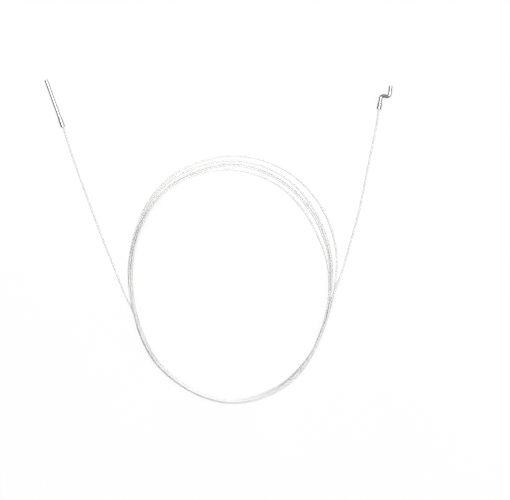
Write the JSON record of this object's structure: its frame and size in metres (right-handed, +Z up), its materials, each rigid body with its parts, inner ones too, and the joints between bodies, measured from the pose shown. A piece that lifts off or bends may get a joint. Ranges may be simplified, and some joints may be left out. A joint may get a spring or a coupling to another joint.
{
  "type": "throttle cable",
  "caption": "Bare steel throttle cable wound in a loose flat coil, with a straight swaged rod end and a flat Z-shaped hook end.",
  "frame": {"origin": "on the surface that the cable lies on, midway between the two end fittings", "axes": "+X from the rod end towards the Z hook, +Y from the coil towards the fittings' free ends, +Z up from the surface"},
  "size_m": [0.2168, 0.2024, 0.0027],
  "materials": {
    "plated_steel": "satin",
    "steel_wire": "satin"
  },
  "bodies": {
    "root": {"rod_end": "plated_steel", "z_hook": "plated_steel", "wire_tail_rod_end": "steel_wire", "wire_coil": "steel_wire", "wire_tail_hook_end": "steel_wire"}
  },
  "joints": []
}
